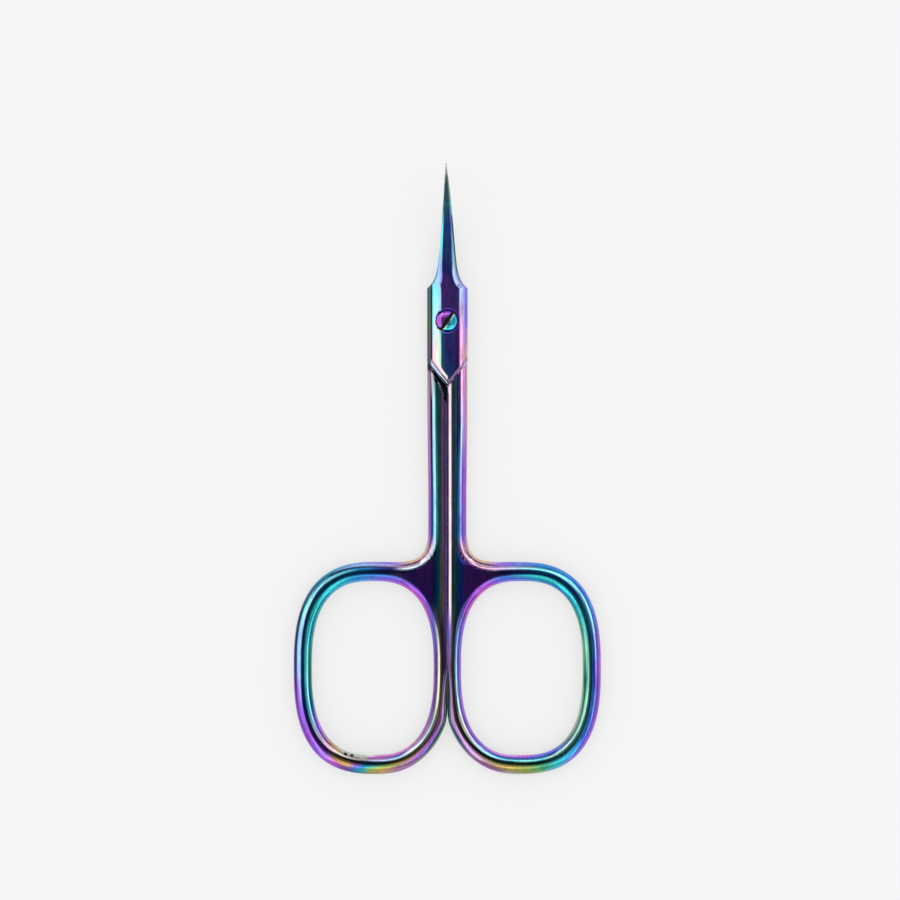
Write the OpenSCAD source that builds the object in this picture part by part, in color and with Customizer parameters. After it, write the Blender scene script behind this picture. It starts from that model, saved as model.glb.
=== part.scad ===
// Small needle-point cuticle scissors: two forged halves and one slotted pivot screw.
// +Y runs from the pivot to the tips and +Z from the back to the screw's head.
// The origin lies on the pivot axis, in the plane that the back of the joint rests on.

/* [Joint] */
// Distance from the pivot axis to the tips
tip_reach = 23.4; // [20:0.1:30]
// Width of the joint across both flanks
joint_width = 6.06; // [5.6:0.02:6.6]
// Thickness of the two lobes together
joint_thickness = 3.3; // [3:0.1:3.8]
// Gap between the two mating faces
mating_gap = 0.04; // [0.02:0.01:0.08]
// Distance that the front lobe's free edge stands back from the flank
free_edge_inset = 0.58; // [0.4:0.02:0.8]
// Height at which the shoulders end and the blades begin
shoulder_reach = 4.9; // [4.5:0.1:5.5]

/* [Blades] */
// Half width of a blade at its tip
tip_half_width = 0.1; // [0.08:0.01:0.2]
// Taper of a blade's half width along its length
blade_taper = 0.08; // [0.07:0.001:0.09]
// Radius of the upward curve of the blades
blade_curve_radius = 42; // [35:1:80]
// Distance from the pivot at which the curve begins
blade_curve_start = 4; // [3:0.5:6]

/* [Handles] */
// Gap between the two shanks along the seam
seam_gap = 0.1; // [0.06:0.01:0.16]
// Width of a finger hole
hole_width = 18.26; // [17:0.02:19]
// Length of a finger hole
hole_length = 26.1; // [25:0.1:27]
// Length of a ring over its outside
ring_length = 31.9; // [31.4:0.1:32.5]
// Thickness of the rings, back to front
ring_thickness = 2.9; // [2.6:0.1:3.2]

/* [Pivot screw] */
// Diameter of the screw's head
head_diameter = 3.28; // [3.1:0.02:3.4]
// Diameter of the head's pocket in the front lobe
pocket_diameter = 3.54; // [3.5:0.02:3.7]
// Diameter of the shoulder that the front half turns on
shoulder_diameter = 2.2; // [2.1:0.02:2.3]
// Diameter over the thread
thread_diameter = 1.94; // [1.8:0.02:2]
// Width of the screwdriver slot
slot_width = 0.5; // [0.4:0.05:0.6]
// Direction of the screwdriver slot, from +X
slot_angle = 55; // [0:5:175]

/* [Hidden] */

mid_z = joint_thickness / 2;
lobe_thickness = mid_z - mating_gap / 2;
flank_x = joint_width / 2;
free_edge_x = flank_x - free_edge_inset;
seam_x = seam_gap / 2;

// Chevron below the joint: each arm climbs from its vertex to the flank
chevron_y = -9.85;
chevron_slope = 1.266;
chevron_clearance = 0.15;
chevron_x = 0.1;
arm_start_x = -0.5;
arm_end_x = 4;
lobe_low_y = -10.6;
riser_run = 0.4;
riser_drop = 0.5;

// Finger hole and ring outlines, right-hand side: superellipses about two centres
hole_centre = [11.2, -52.16];
hole_half = [hole_width / 2, hole_length / 2];
hole_power = 2.64;
ring_centre = [10.5, -52.15];
ring_reach_out = 12.6;
ring_reach_in = 11.6;
ring_half_length = ring_length / 2;
ring_power_out = 2.66;
ring_power_in_low = 2.25;
ring_power_in_high = 3.2;

// Rounding of the sections: widths over which each edge rolls down to the middle plane
hole_roll = 1.45;
seam_roll = 1.2;
outer_roll = 1.75;
roll_blend = 0.3;
web_blend = 5.5;

// Shank: outer flank at the joint and near the rings, half thickness, and the change down to the ring
shank_x_top = 2.95;
shank_x_low = 2.84;
shank_half = 1.4;
shank_end_y = -12;
flank_change = 16;
height_change = 24;
ring_mid_z = ring_thickness / 2;
strip_end_y = -46;
base_y = -30.5;
tongue_y = -3.9;
fillet_radius = 3.3;
fillet_low_y = -36.2;
seam_low_y = -59.6;
seam_straight_y = -50;

// The handle runs on inside the lobe as a tongue, clear of the mating face
tongue_floor = mid_z + 0.12;

// Blade: flare into the shoulder, thickness at the root and tip, and lengths of the changes of section
shoulder_falloff = 1.15;
shoulder_length = 3.3;
root_thickness = 1.6;
tip_thickness = 0.35;
section_change = 4;

// Screw: floor of the head's pocket, edge of the domed head, slot floor, running play and thread form
pocket_floor = 2.3;
head_gap = 0.02;
head_edge_drop = 0.2;
head_shoulder_drop = 0.08;
head_crown_drop = 0.02;
head_edge_run = 0.14;
slot_depth = 0.45;
screw_tip_z = 0.08;
thread_play = 0.03;
thread_pitch = 0.4;
thread_depth = 0.14;
thread_turns = 3;

// Mesh steps
ring_steps = 48;
fillet_steps = 6;
base_steps = 7;
seam_steps = 13;
across_steps = 8;
shank_rows = 8;

// Angles on the hole where the mesh changes from one stretch of the outline to the next
fillet_start = 107;
base_start = 160;
seam_start = 178;
seam_end = 207.2;

function smooth(t) = let (c = min(1, max(0, t))) c * c * (3 - 2 * c);
function mix(a, b, t) = a + (b - a) * t;
function soft_max(a, b, k) = max(a, b) + pow(max(k - abs(a - b), 0), 2) / (4 * k);
function soft_min(a, b, k) = min(a, b) - pow(max(k - abs(a - b), 0), 2) / (4 * k);
function signed_power(v, p) = sign(v) * pow(abs(v), p);

// First-order distance from a superellipse, positive inside
function oval_depth(u, v, a, b, n) =
    let (p = abs(u) / a, q = abs(v) / b)
    let (rho = pow(pow(p, n) + pow(q, n), 1 / n))
    let (gx = pow(p / rho, n - 1) / a, gy = pow(q / rho, n - 1) / b)
    (1 - rho) / norm([gx, gy]);

function oval_point(centre, a, b, n, t) =
    centre + [a * signed_power(cos(t), 2 / n), b * signed_power(sin(t), 2 / n)];

function ring_power(u, v) = u > 0 ? ring_power_out : v > 0 ? ring_power_in_high : ring_power_in_low;
function ring_reach(u) = u > 0 ? ring_reach_out : ring_reach_in;

function ring_depth(x, y) =
    let (u = x - ring_centre[0], v = y - ring_centre[1])
    oval_depth(u, v, ring_reach(u), ring_half_length, ring_power(u, v));

function hole_clear(x, y) =
    -oval_depth(x - hole_centre[0], y - hole_centre[1], hole_half[0], hole_half[1], hole_power);

// Outer flank of the shank and the solid's depth inside the outer outline
function shank_x(y) = mix(shank_x_top, shank_x_low, smooth((shank_end_y - y) / flank_change));
function outer_depth(x, y) =
    soft_max(ring_depth(x, y), min(shank_x(y) - x, y - strip_end_y), web_blend);

// Edge measure: 0 on the outline, 1 and more where the surface is at full height
function edge(x, y) = soft_min((x - seam_x) / seam_roll, outer_depth(x, y) / outer_roll, roll_blend);

function height_share(x, y) =
    let (rim = max(0, 1 - hole_clear(x, y) / hole_roll), side = max(0, 1 - edge(x, y)))
    sqrt(max(0, 1 - rim * rim - side * side));

function to_ring(y) = smooth((shank_end_y - y) / height_change);
function mid_height(y) = mix(mid_z, ring_mid_z, to_ring(y));
function half_height(y) = mix(shank_half, ring_mid_z, to_ring(y));
function skin(p, side) =
    let (lift = half_height(p[1]) * height_share(p[0], p[1]))
    [p[0], p[1], mid_height(p[1]) + side * lift];

// Moves a point onto the outline, along the slope of the edge measure
function settle(p, passes) = passes == 0 ? p :
    let (h = 0.01, e = edge(p[0], p[1]))
    let (g = [edge(p[0] + h, p[1]) - e, edge(p[0], p[1] + h) - e] / h)
    settle(p - g * e / (g * g), passes - 1);

// Outer ends of the mesh lines, clockwise from the right-hand end of the base line
fillet_centre = [shank_x_low + fillet_radius, fillet_low_y + fillet_radius];
function fillet_point(t) = fillet_centre - fillet_radius * [cos(90 * t), sin(90 * t)];
fillet_ends = [for (i = [0:fillet_steps - 1])
    i == 0 ? [shank_x_low, base_y] : settle(fillet_point(i / fillet_steps), 6)];
ring_ends = [for (i = [0:ring_steps - 1])
    let (t = mix(fillet_start, seam_end - 360, i / ring_steps), u = cos(t), v = sin(t))
    settle(oval_point(ring_centre, ring_reach(u), ring_half_length, ring_power(u, v), t), 6)];
seam_ends = [for (i = [0:seam_steps - 1])
    let (y = mix(seam_low_y, base_y, i / seam_steps))
    y < seam_straight_y ? settle([seam_x, y], 6) : [seam_x, y]];
base_ends = [for (i = [0:base_steps - 1])
    [mix(seam_x, shank_x_low, (1 - cos(180 * i / base_steps)) / 2), base_y]];
outer_ends = concat(fillet_ends, ring_ends, seam_ends, base_ends);

function angles(from, to, count) = [for (i = [0:count - 1]) mix(from, to, i / count)];
hole_angles = concat(
    angles(base_start, fillet_start, fillet_steps),
    angles(fillet_start, seam_end - 360, ring_steps),
    angles(seam_end, seam_start, seam_steps),
    angles(seam_start, base_start, base_steps));
hole_ends = [for (t = hole_angles)
    oval_point(hole_centre, hole_half[0], hole_half[1], hole_power, t)];

lines = len(outer_ends);
function cell(i, k) =
    let (t = (1 - cos(180 * k / across_steps)) / 2)
    hole_ends[i] + (outer_ends[i] - hole_ends[i]) * t;

// Shank columns rise from the base line, left to right, to the end of the tongue inside the lobe
column_count = base_steps + 1;
function column_point(j, k) =
    let (y = mix(base_y, tongue_y, k / shank_rows))
    [mix(seam_x, shank_x(y), (1 - cos(180 * j / base_steps)) / 2), y];

// Right-hand handle: ring, web and shank as one closed skin
module handle() {
    front_cells = [for (i = [0:lines - 1]) for (k = [0:across_steps]) skin(cell(i, k), 1)];
    back_cells = [for (i = [0:lines - 1]) for (k = [0:across_steps]) skin(cell(i, k), -1)];
    front_columns = [for (k = [1:shank_rows]) for (j = [0:column_count - 1]) skin(column_point(j, k), 1)];
    back_columns = [for (k = [1:shank_rows]) for (j = [0:column_count - 1]) skin(column_point(j, k), -1)];
    row = across_steps + 1;
    cells = lines * row;
    columns = shank_rows * column_count;
    base_line = lines - base_steps;
    is_base = function(i) i > base_line && i < lines;
    on_rim = function(i, k) k == 0 || (k == across_steps && !is_base(i % lines));
    front_id = function(i, k) (i % lines) * row + k;
    back_id = function(i, k) on_rim(i, k) ? front_id(i, k) : cells + front_id(i, k);
    start_id = function(j) front_id(base_line + j, across_steps);
    start_back_id = function(j) back_id(base_line + j, across_steps);
    edge_column = function(j) j == 0 || j == base_steps;
    column_id = function(j, k) k == 0 ? start_id(j) : 2 * cells + (k - 1) * column_count + j;
    column_back_id = function(j, k) k == 0 ? start_back_id(j) :
        edge_column(j) ? column_id(j, k) : columns + column_id(j, k);
    front_faces = [for (i = [0:lines - 1]) for (k = [0:across_steps - 1])
        let (a = front_id(i, k), b = front_id(i, k + 1))
        let (c = front_id(i + 1, k + 1), d = front_id(i + 1, k))
        each [[a, b, c], [a, c, d]]];
    back_faces = [for (i = [0:lines - 1]) for (k = [0:across_steps - 1])
        let (a = back_id(i, k), b = back_id(i, k + 1))
        let (c = back_id(i + 1, k + 1), d = back_id(i + 1, k))
        each [[c, b, a], [d, c, a]]];
    shank_faces = [for (j = [0:base_steps - 1]) for (k = [0:shank_rows - 1])
        let (a = column_id(j, k), b = column_id(j, k + 1))
        let (c = column_id(j + 1, k + 1), d = column_id(j + 1, k))
        each [[a, b, c], [a, c, d]]];
    shank_back_faces = [for (j = [0:base_steps - 1]) for (k = [0:shank_rows - 1])
        let (a = column_back_id(j, k), b = column_back_id(j, k + 1))
        let (c = column_back_id(j + 1, k + 1), d = column_back_id(j + 1, k))
        each [[c, b, a], [d, c, a]]];
    cap = concat([for (j = [0:base_steps]) column_id(j, shank_rows)],
        [for (j = [base_steps - 1:-1:1]) column_back_id(j, shank_rows)]);
    cap_face = [for (i = [len(cap) - 1:-1:0]) cap[i]];
    polyhedron(concat(front_cells, back_cells, front_columns, back_columns),
        concat(front_faces, back_faces, shank_faces, shank_back_faces, [cap_face]));
}

// Lobe and blade: one crowned section carried from below the chevron to the tip, along the curve
tip_arc = blade_curve_start
    + blade_curve_radius * asin((tip_reach - blade_curve_start) / blade_curve_radius) * PI / 180;
function half_width(y) = tip_half_width + blade_taper * (tip_arc - y);
shoulder_flare = flank_x - half_width(shoulder_reach);
function flared(y) = half_width(y) + shoulder_flare * exp(-(y - shoulder_reach) / shoulder_falloff);
function cutting_x(y) = y < shoulder_reach ? flank_x : flared(y);
function spine_x(y) = -min(free_edge_x, cutting_x(y));
function blade_share(y) = max(0, y - shoulder_reach) / (tip_arc - shoulder_reach);
function blade_thickness(y) = mix(root_thickness, tip_thickness, pow(blade_share(y), 0.8));

lobe_section = [[-1, 0], [-1, 0.34], [-0.52, 1], [0.2, 1], [0.61, 1], [0.83, 0.72], [1, 0.34], [1, 0]];
blade_section = [[-1, 0], [-1, 0.42], [-0.4, 0.95], [0, 1], [0.4, 0.9], [0.75, 0.5], [1, 0.1], [1, 0]];
flare_end = shoulder_reach + shoulder_length;
stations = concat(
    [lobe_low_y, min(blade_curve_start, shoulder_reach - 0.4)],
    [for (i = [1:2]) mix(min(blade_curve_start, shoulder_reach - 0.4), shoulder_reach, i / 2)],
    [for (i = [1:6]) mix(shoulder_reach, flare_end, i / 6)],
    [for (i = [1:9]) mix(flare_end, tip_arc, i / 9)]);

function section_point(y, i) =
    let (t = smooth((y - shoulder_reach) / section_change))
    let (s = mix(lobe_section[i], blade_section[i], t))
    let (thick = y < shoulder_reach ? lobe_thickness : min(lobe_thickness, blade_thickness(y)))
    [s[0] < 0 ? -s[0] * spine_x(y) : s[0] * cutting_x(y), y, s[1] * thick];

// The curve lifts the blade towards the front; depth counts from the mating face
function curved(p, side) =
    let (turn = max(0, p[1] - blade_curve_start) / blade_curve_radius * 180 / PI)
    let (z = side * (p[2] + mating_gap / 2), radius = blade_curve_radius - z)
    let (lifted_y = blade_curve_start + radius * sin(turn))
    let (lifted_z = mid_z + blade_curve_radius - radius * cos(turn))
    turn == 0 ? [side * p[0], p[1], mid_z + z] : [side * p[0], lifted_y, lifted_z];

module lobe_and_blade(side) {
    size = len(lobe_section);
    last = len(stations) - 1;
    points = [for (y = stations) for (i = [0:size - 1]) curved(section_point(y, i), side)];
    sides = [for (k = [0:last - 1]) for (i = [0:size - 1])
        let (n = (i + 1) % size, a = k * size + i, b = k * size + n)
        let (c = (k + 1) * size + n, d = (k + 1) * size + i)
        each [[c, b, a], [d, c, a]]];
    ends = [[for (i = [0:size - 1]) i], [for (i = [size - 1:-1:0]) last * size + i]];
    polyhedron(points, concat(sides, ends));
}

// Turns a cutter for the front half into the same cutter for the rear half
module for_side(side) {
    if (side > 0) children();
    else translate([0, 0, joint_thickness]) rotate([0, 180, 0]) children();
}

// Area on the far side of the chevron's right arm: below it down to far_y, or above it up to far_y
module beyond_arm(offset_y, far_y) {
    arm_y = function(x) chevron_y + offset_y + chevron_slope * (x - chevron_x);
    polygon([[arm_start_x, arm_y(arm_start_x)], [arm_end_x, arm_y(arm_end_x)],
        [arm_end_x, far_y], [arm_start_x, far_y]]);
}

// Wedge above the riser, which slopes down from the lobe into the shank
module riser_cut() {
    lean = atan(riser_run / riser_drop);
    size = [20, 16, 8];
    translate([chevron_x, chevron_y + riser_run / 2, joint_thickness])
        rotate([0, 0, atan(chevron_slope)]) rotate([90 - lean, 0, 0])
        translate([-size[0] / 2, -size[1] / 2, 0]) cube(size);
}

// The lobe's free edge stands upright; its other arm runs into the shank
module trimmed_lobe(side) {
    difference() {
        lobe_and_blade(side);
        for_side(side) mirror([1, 0, 0]) translate([0, 0, -1])
            linear_extrude(joint_thickness + 2) beyond_arm(0, 2 * lobe_low_y);
        for_side(side) riser_cut();
    }
}

// The handle without the part that the other half's lobe fills
module recessed_handle(side) {
    difference() {
        mirror([side > 0 ? 0 : 1, 0, 0]) handle();
        for_side(side) translate([0, 0, tongue_floor - joint_thickness])
            linear_extrude(joint_thickness) beyond_arm(-chevron_clearance, 2);
    }
}

module rear_half() {
    color("mediumslateblue") difference() {
        union() {
            recessed_handle(-1);
            trimmed_lobe(-1);
        }
        translate([0, 0, -1])
            cylinder(h = joint_thickness + 2, d = thread_diameter + 2 * thread_play, $fn = 48);
    }
}

module front_half() {
    color("darkturquoise") difference() {
        union() {
            recessed_handle(1);
            trimmed_lobe(1);
        }
        translate([0, 0, -1])
            cylinder(h = joint_thickness + 2, d = shoulder_diameter + 2 * thread_play, $fn = 48);
        translate([0, 0, pocket_floor]) cylinder(h = joint_thickness, d = pocket_diameter, $fn = 64);
    }
}

module pivot_screw() {
    head_base = pocket_floor + head_gap;
    head_r = head_diameter / 2;
    shoulder_r = shoulder_diameter / 2;
    core_r = thread_diameter / 2 - thread_depth;
    first_z = screw_tip_z + thread_pitch / 2;
    ridges = [for (i = [0:thread_turns - 1])
        let (z = first_z + i * thread_pitch)
        each [[core_r, z], [core_r + thread_depth, z + thread_pitch / 2]]];
    stem = [[core_r, first_z + thread_turns * thread_pitch], [core_r, mid_z],
        [shoulder_r, mid_z], [shoulder_r, head_base]];
    head = [[head_r, head_base], [head_r, joint_thickness - head_edge_drop],
        [head_r - head_edge_run, joint_thickness - head_shoulder_drop],
        [head_r / 2, joint_thickness - head_crown_drop], [0, joint_thickness]];
    tip = [[0, screw_tip_z], [core_r - 0.1, screw_tip_z]];
    color("mediumpurple") difference() {
        rotate_extrude($fn = 64) polygon(concat(tip, ridges, stem, head));
        rotate(slot_angle) translate([-head_diameter, -slot_width / 2, joint_thickness - slot_depth])
            cube([2 * head_diameter, slot_width, 2 * slot_depth]);
    }
}

rear_half();
front_half();
pivot_screw();
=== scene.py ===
import math
import bpy
import numpy as np
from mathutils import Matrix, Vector


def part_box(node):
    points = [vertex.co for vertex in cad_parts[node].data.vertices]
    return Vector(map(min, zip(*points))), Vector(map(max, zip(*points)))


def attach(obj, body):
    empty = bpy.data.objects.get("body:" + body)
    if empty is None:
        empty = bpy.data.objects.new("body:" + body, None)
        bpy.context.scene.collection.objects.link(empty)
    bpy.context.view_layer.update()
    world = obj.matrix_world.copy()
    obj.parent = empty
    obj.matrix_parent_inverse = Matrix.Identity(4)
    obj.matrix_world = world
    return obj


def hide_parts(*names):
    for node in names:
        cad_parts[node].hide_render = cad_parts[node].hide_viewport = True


# Rainbow-coated cuticle scissors: two halves and a slotted screw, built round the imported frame.
# Shapes are worked out in millimetres, +Y to the tips and +Z to the screw's head, and stored in metres.

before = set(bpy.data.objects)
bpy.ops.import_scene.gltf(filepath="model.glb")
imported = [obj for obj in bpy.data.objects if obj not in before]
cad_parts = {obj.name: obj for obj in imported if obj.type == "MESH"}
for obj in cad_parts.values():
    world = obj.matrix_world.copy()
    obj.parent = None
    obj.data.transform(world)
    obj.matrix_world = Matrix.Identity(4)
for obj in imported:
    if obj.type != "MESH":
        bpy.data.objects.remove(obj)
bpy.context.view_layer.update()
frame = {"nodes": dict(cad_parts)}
print("frame loaded:", ", ".join(frame["nodes"]))

mm = 0.001
halfLow, halfHigh = [[v / mm for v in corner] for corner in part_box("front_half")]
screwHigh = [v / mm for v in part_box("pivot_screw")[1]]

joint = {
    "thickness": screwHigh[2],   # both lobes together
    "gap": 0.04,                 # between the mating faces
    "flankX": 3.03,              # outer flank of the joint
    "freeX": 2.45,               # free edge of a lobe
    "shoulderY": 4.9,
    "vertexX": 0.1,              # chevron's lowest point
    "vertexY": -9.85,
    "armSlope": 1.266,
    "endClearance": 0.12,        # between a lobe's free arm and the other shank
}
midZ = joint["thickness"] / 2

handle = {
    "seamX": 0.002,              # drawn closer than the CAD's gap, so no floor shows through the seam
    "holeCentre": (11.2, -52.16), "holeHalf": (9.13, 13.05), "holePower": 2.64,
    "ringCentre": (10.5, -52.15), "ringIn": 11.6, "ringPowers": (2.66, 3.2, 2.25),
    "outerRoll": 1.75, "holeRoll": 1.45, "seamRoll": 1.2,
    "endRoll": 0.75,             # roll-off where the shank meets the other lobe
    "cornerBlend": 0.3, "webBlend": 5.5, "stripEndY": -46.0,
    "shankTop": 3.0, "shankFoot": 2.86, "shankTaper": 16,
    "taperY": -12, "heightTaper": 24,
    "baseY": -30.5,              # level line where the shank's mesh meets the ring's
    "shankHalf": 1.4, "ringHalf": 1.45,
    "partingY": -51, "partingRun": 8, "flankEndY": -40, "flankRun": 8,
}
ringOut = halfHigh[0] - handle["ringCentre"][0]
ringHalfLength = -halfLow[1] + handle["ringCentre"][1]

# Ground flank along the shank, as shares of the half height and mm in from the edge
flankShape = {
    "foot": 0.05, "slope": 1.22, "shoulder": 0.68, "crestFrom": 0.5, "crestRun": 1.1, "crestPower": 1.9,
    "blend": 0.08, "lip": 0.06,
}
# Ground edge along the seam: wider on the right-hand half (1) than on the left-hand one (-1)
seamShape = {1: {"rise": 0.24, "width": 0.62}, -1: {"rise": 0.05, "width": 0.4}, "blend": 0.03, "lip": 0.025}

# Mesh lines of the handle: the fillet above the ring, then angles about the hole's centre where stretches end
plan = {
    "filletRadius": 3.3, "filletTopY": -32.9, "straightShare": 0.25, "straightEndY": -33.7,
    "baseEnd": 160, "filletEnd": 107.0, "ringEnd": 207.2, "seamEnd": 178,
    "seamFootY": -59.6, "seamSettleY": -50,
}
tongue = {
    "endY": -4.2, "lift": 0.35, "shrinks": (0.25, 0.4), "aimX": 1.45, "width": 2.95,
    "layer": 0.8, "mound": 0.5, "moundFoot": 0.08, "flatten": 0.8,
}

meshSteps = {"ring": 250, "fillet": 36, "base": 34, "seam": 84, "across": 30, "shank": 96, "end": 14}


def smooth(t):
    t = np.clip(t, 0.0, 1.0)
    return t * t * (3 - 2 * t)


def mix(a, b, t):
    return a + (b - a) * t


def softMax(a, b, k):
    return np.maximum(a, b) + np.maximum(k - np.abs(a - b), 0) ** 2 / (4 * k)


def softMin(a, b, k):
    return np.minimum(a, b) - np.maximum(k - np.abs(a - b), 0) ** 2 / (4 * k)


# The handle is worked out for the right-hand side: its outline first, then the height of the skin over it
def ovalDepth(u, v, a, b, n):
    p, q = np.abs(u) / a + 1e-9, np.abs(v) / b + 1e-9
    rho = (p ** n + q ** n) ** (1 / n)
    slope = np.hypot((p / rho) ** (n - 1) / a, (q / rho) ** (n - 1) / b)
    return (1 - rho) / slope


def ringDepth(x, y):
    u, v = x - handle["ringCentre"][0], y - handle["ringCentre"][1]
    right, high, low = handle["ringPowers"]
    power = np.where(u > 0, right, np.where(v > 0, high, low))
    return ovalDepth(u, v, np.where(u > 0, ringOut, handle["ringIn"]), ringHalfLength, power)


def holeClear(x, y):
    (cx, cy), (a, b) = handle["holeCentre"], handle["holeHalf"]
    return -ovalDepth(x - cx, y - cy, a, b, handle["holePower"])


def shankX(y):
    taper = smooth((handle["taperY"] - y) / handle["shankTaper"])
    return mix(handle["shankTop"], handle["shankFoot"], taper)


def outerDepth(x, y):
    strip = np.minimum(shankX(y) - x, y - handle["stripEndY"])
    return softMax(ringDepth(x, y), strip, handle["webBlend"])


def edgeMeasure(x, y):
    seam = (x - handle["seamX"]) / handle["seamRoll"]
    return softMin(seam, outerDepth(x, y) / handle["outerRoll"], handle["cornerBlend"])


def armY(x):
    return joint["vertexY"] + joint["armSlope"] * np.abs(x - joint["vertexX"])


def aboveArm(x, y):
    # Distance up from the chevron's arm, square to it
    return (y - armY(x)) / math.hypot(1, joint["armSlope"])


def belowArm(x, y):
    # Distance down from the shank's own end
    return (armY(x) - joint["endClearance"] - y) / math.hypot(1, joint["armSlope"])


def roundProfile(e, power):
    return np.sqrt(np.clip(1 - np.clip(1 - e, 0, 1) ** power, 0, 1))


def flankProfile(e):
    # A ground flank, then a rounded shoulder up to the crest
    f = flankShape
    t = np.clip(e, 0, 1) * handle["outerRoll"]
    run = np.clip((t - f["crestFrom"]) / f["crestRun"], 0, 1)
    crest = f["shoulder"] + (1 - f["shoulder"]) * (1 - (1 - run) ** f["crestPower"])
    shape = softMin(f["foot"] + f["slope"] * t, crest, f["blend"])
    return np.clip(np.minimum(shape, np.sqrt(np.clip(t / f["lip"], 0, 1))), 0, 1)


def seamProfile(x, side):
    rise, width = seamShape[side]["rise"], seamShape[side]["width"]
    t = np.clip(x - handle["seamX"], 0, None)
    lip = np.sqrt(np.clip(t / seamShape["lip"], 0, 1))
    return np.minimum(lip, softMin(1 - rise + rise * t / width, 1.0, seamShape["blend"]))


def heightShare(x, y, ending, half):
    seam = (x - handle["seamX"]) / handle["seamRoll"]
    outer = outerDepth(x, y) / handle["outerRoll"]
    e = softMin(seam, outer, handle["cornerBlend"])
    # The flat along the seam rounds over before the rings part
    parted = smooth((handle["partingY"] - y) / handle["partingRun"])
    bySeam = smooth((outer - seam) / 0.4 + 0.5) * (1 - parted)
    onShank = smooth((y - handle["flankEndY"]) / handle["flankRun"])
    outerShape = mix(roundProfile(e, 2.0), flankProfile(e), onShank)
    side = mix(outerShape, seamProfile(x, half), bySeam)
    rim = roundProfile(holeClear(x, y) / handle["holeRoll"], 2.0)
    loss = (1 - side ** 2) + (1 - rim ** 2)
    if ending:
        loss = loss + (1 - roundProfile(belowArm(x, y) / handle["endRoll"], 2.0) ** 2)
    return np.sqrt(np.clip(1 - loss, 0, 1))


def towardsRing(y):
    return smooth((handle["taperY"] - y) / handle["heightTaper"])


def midHeight(y):
    return mix(midZ, handle["ringHalf"], towardsRing(y))


def halfHeight(y):
    return mix(handle["shankHalf"], handle["ringHalf"], towardsRing(y))


def settle(x, y):
    # Moves points on to the outline, down the slope of the edge measure
    for _ in range(8):
        h = 0.01
        e = edgeMeasure(x, y)
        gx = (edgeMeasure(x + h, y) - e) / h
        gy = (edgeMeasure(x, y + h) - e) / h
        size = gx * gx + gy * gy + 1e-12
        x, y = x - gx * e / size, y - gy * e / size
    return x, y


def ovalPoint(t, centre, a, b, n):
    c, s = np.cos(t), np.sin(t)
    return (centre[0] + a * np.sign(c) * np.abs(c) ** (2 / n),
            centre[1] + b * np.sign(s) * np.abs(s) ** (2 / n))


def handlePlan():
    # Mesh lines from the finger hole to the outline, clockwise from the right-hand end of the base line
    s = meshSteps
    x0, base = handle["seamX"], handle["baseY"]
    flank = float(shankX(base))
    turn = np.arange(s["fillet"]) / s["fillet"]
    fx = flank + plan["filletRadius"] * (1 - np.cos(turn * math.pi / 2))
    fy = plan["filletTopY"] - plan["filletRadius"] * np.sin(turn * math.pi / 2)
    straight = mix(base, plan["straightEndY"], turn / plan["straightShare"])
    fx, fy = settle(fx, np.where(turn < plan["straightShare"], straight, fy))
    fx[0], fy[0] = flank, base
    t = np.radians(mix(plan["filletEnd"], plan["ringEnd"] - 360, np.arange(s["ring"]) / s["ring"]))
    right, high, low = handle["ringPowers"]
    power = np.where(np.cos(t) > 0, right, np.where(np.sin(t) > 0, high, low))
    reach = np.where(np.cos(t) > 0, ringOut, handle["ringIn"])
    rx, ry = settle(*ovalPoint(t, handle["ringCentre"], reach, ringHalfLength, power))
    k = np.arange(s["seam"]) / s["seam"]
    sy = mix(plan["seamFootY"], base, k)
    sx = np.full_like(sy, x0)
    lx, ly = settle(sx.copy(), sy.copy())
    parting = sy < plan["seamSettleY"]
    sx, sy = np.where(parting, lx, sx), np.where(parting, ly, sy)
    j = (1 - np.cos(math.pi * np.arange(s["base"]) / s["base"])) / 2
    bx, by = mix(x0, flank, j), np.full(s["base"], base)
    outer = np.column_stack([np.concatenate([fx, rx, sx, bx]), np.concatenate([fy, ry, sy, by])])
    spans = [(plan["baseEnd"], plan["filletEnd"], "fillet"),
             (plan["filletEnd"], plan["ringEnd"] - 360, "ring"),
             (plan["ringEnd"], plan["seamEnd"], "seam"),
             (plan["seamEnd"], plan["baseEnd"], "base")]
    angle = np.concatenate([mix(a, b, np.arange(s[name]) / s[name]) for a, b, name in spans])
    hole = np.column_stack(ovalPoint(np.radians(angle), handle["holeCentre"], *handle["holeHalf"],
                                     handle["holePower"]))
    return hole, outer


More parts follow.
